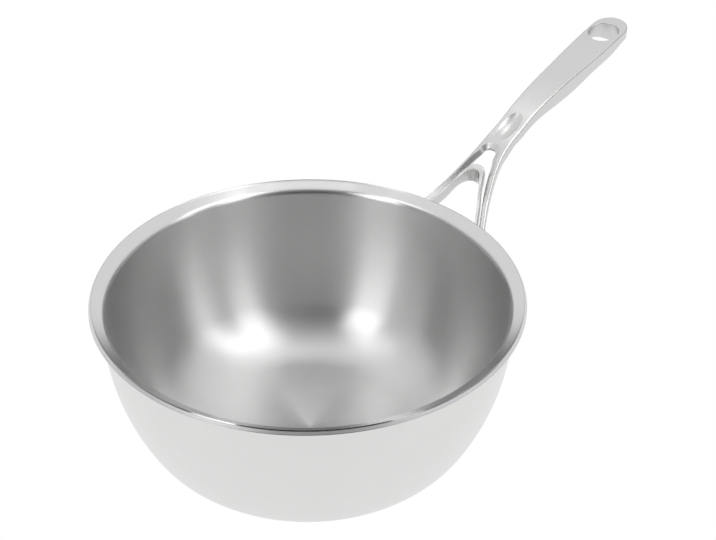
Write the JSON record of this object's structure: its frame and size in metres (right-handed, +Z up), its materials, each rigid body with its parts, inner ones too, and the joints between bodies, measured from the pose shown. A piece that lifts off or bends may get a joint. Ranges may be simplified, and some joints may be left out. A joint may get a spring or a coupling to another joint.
{
  "type": "saucier pan",
  "caption": "Round-bottomed saucier pan with a flared pouring lip and one long forked handle, for stirring and reducing sauces on a stovetop.",
  "frame": {"origin": "centre of the flat underside of the base, on the pan's axis", "axes": "+Z up along the bowl's axis; +X horizontal along the handle, from the bowl towards the handle's tip; +Y across the handle, to its left seen from the bowl"},
  "size_m": [0.4564, 0.2558, 0.1704],
  "materials": {
    "satin_outer_steel": "fine satin, evenly brushed round the bowl",
    "brushed_cooking_steel": "circular brushing with streaked highlights",
    "core_aluminium": "cut edge, matt",
    "bond_aluminium": "cut edge, matt",
    "satin_cast_steel": "satin, soft edges polished brighter",
    "weld_steel": "ground weld, blended satin"
  },
  "bodies": {
    "root": {"outer_skin": "satin_outer_steel", "outer_bond_ply": "bond_aluminium", "aluminium_core": "core_aluminium", "inner_bond_ply": "bond_aluminium", "cooking_liner": "brushed_cooking_steel", "handle": "satin_cast_steel", "left_weld_bead": "weld_steel", "right_weld_bead": "weld_steel"}
  },
  "joints": []
}
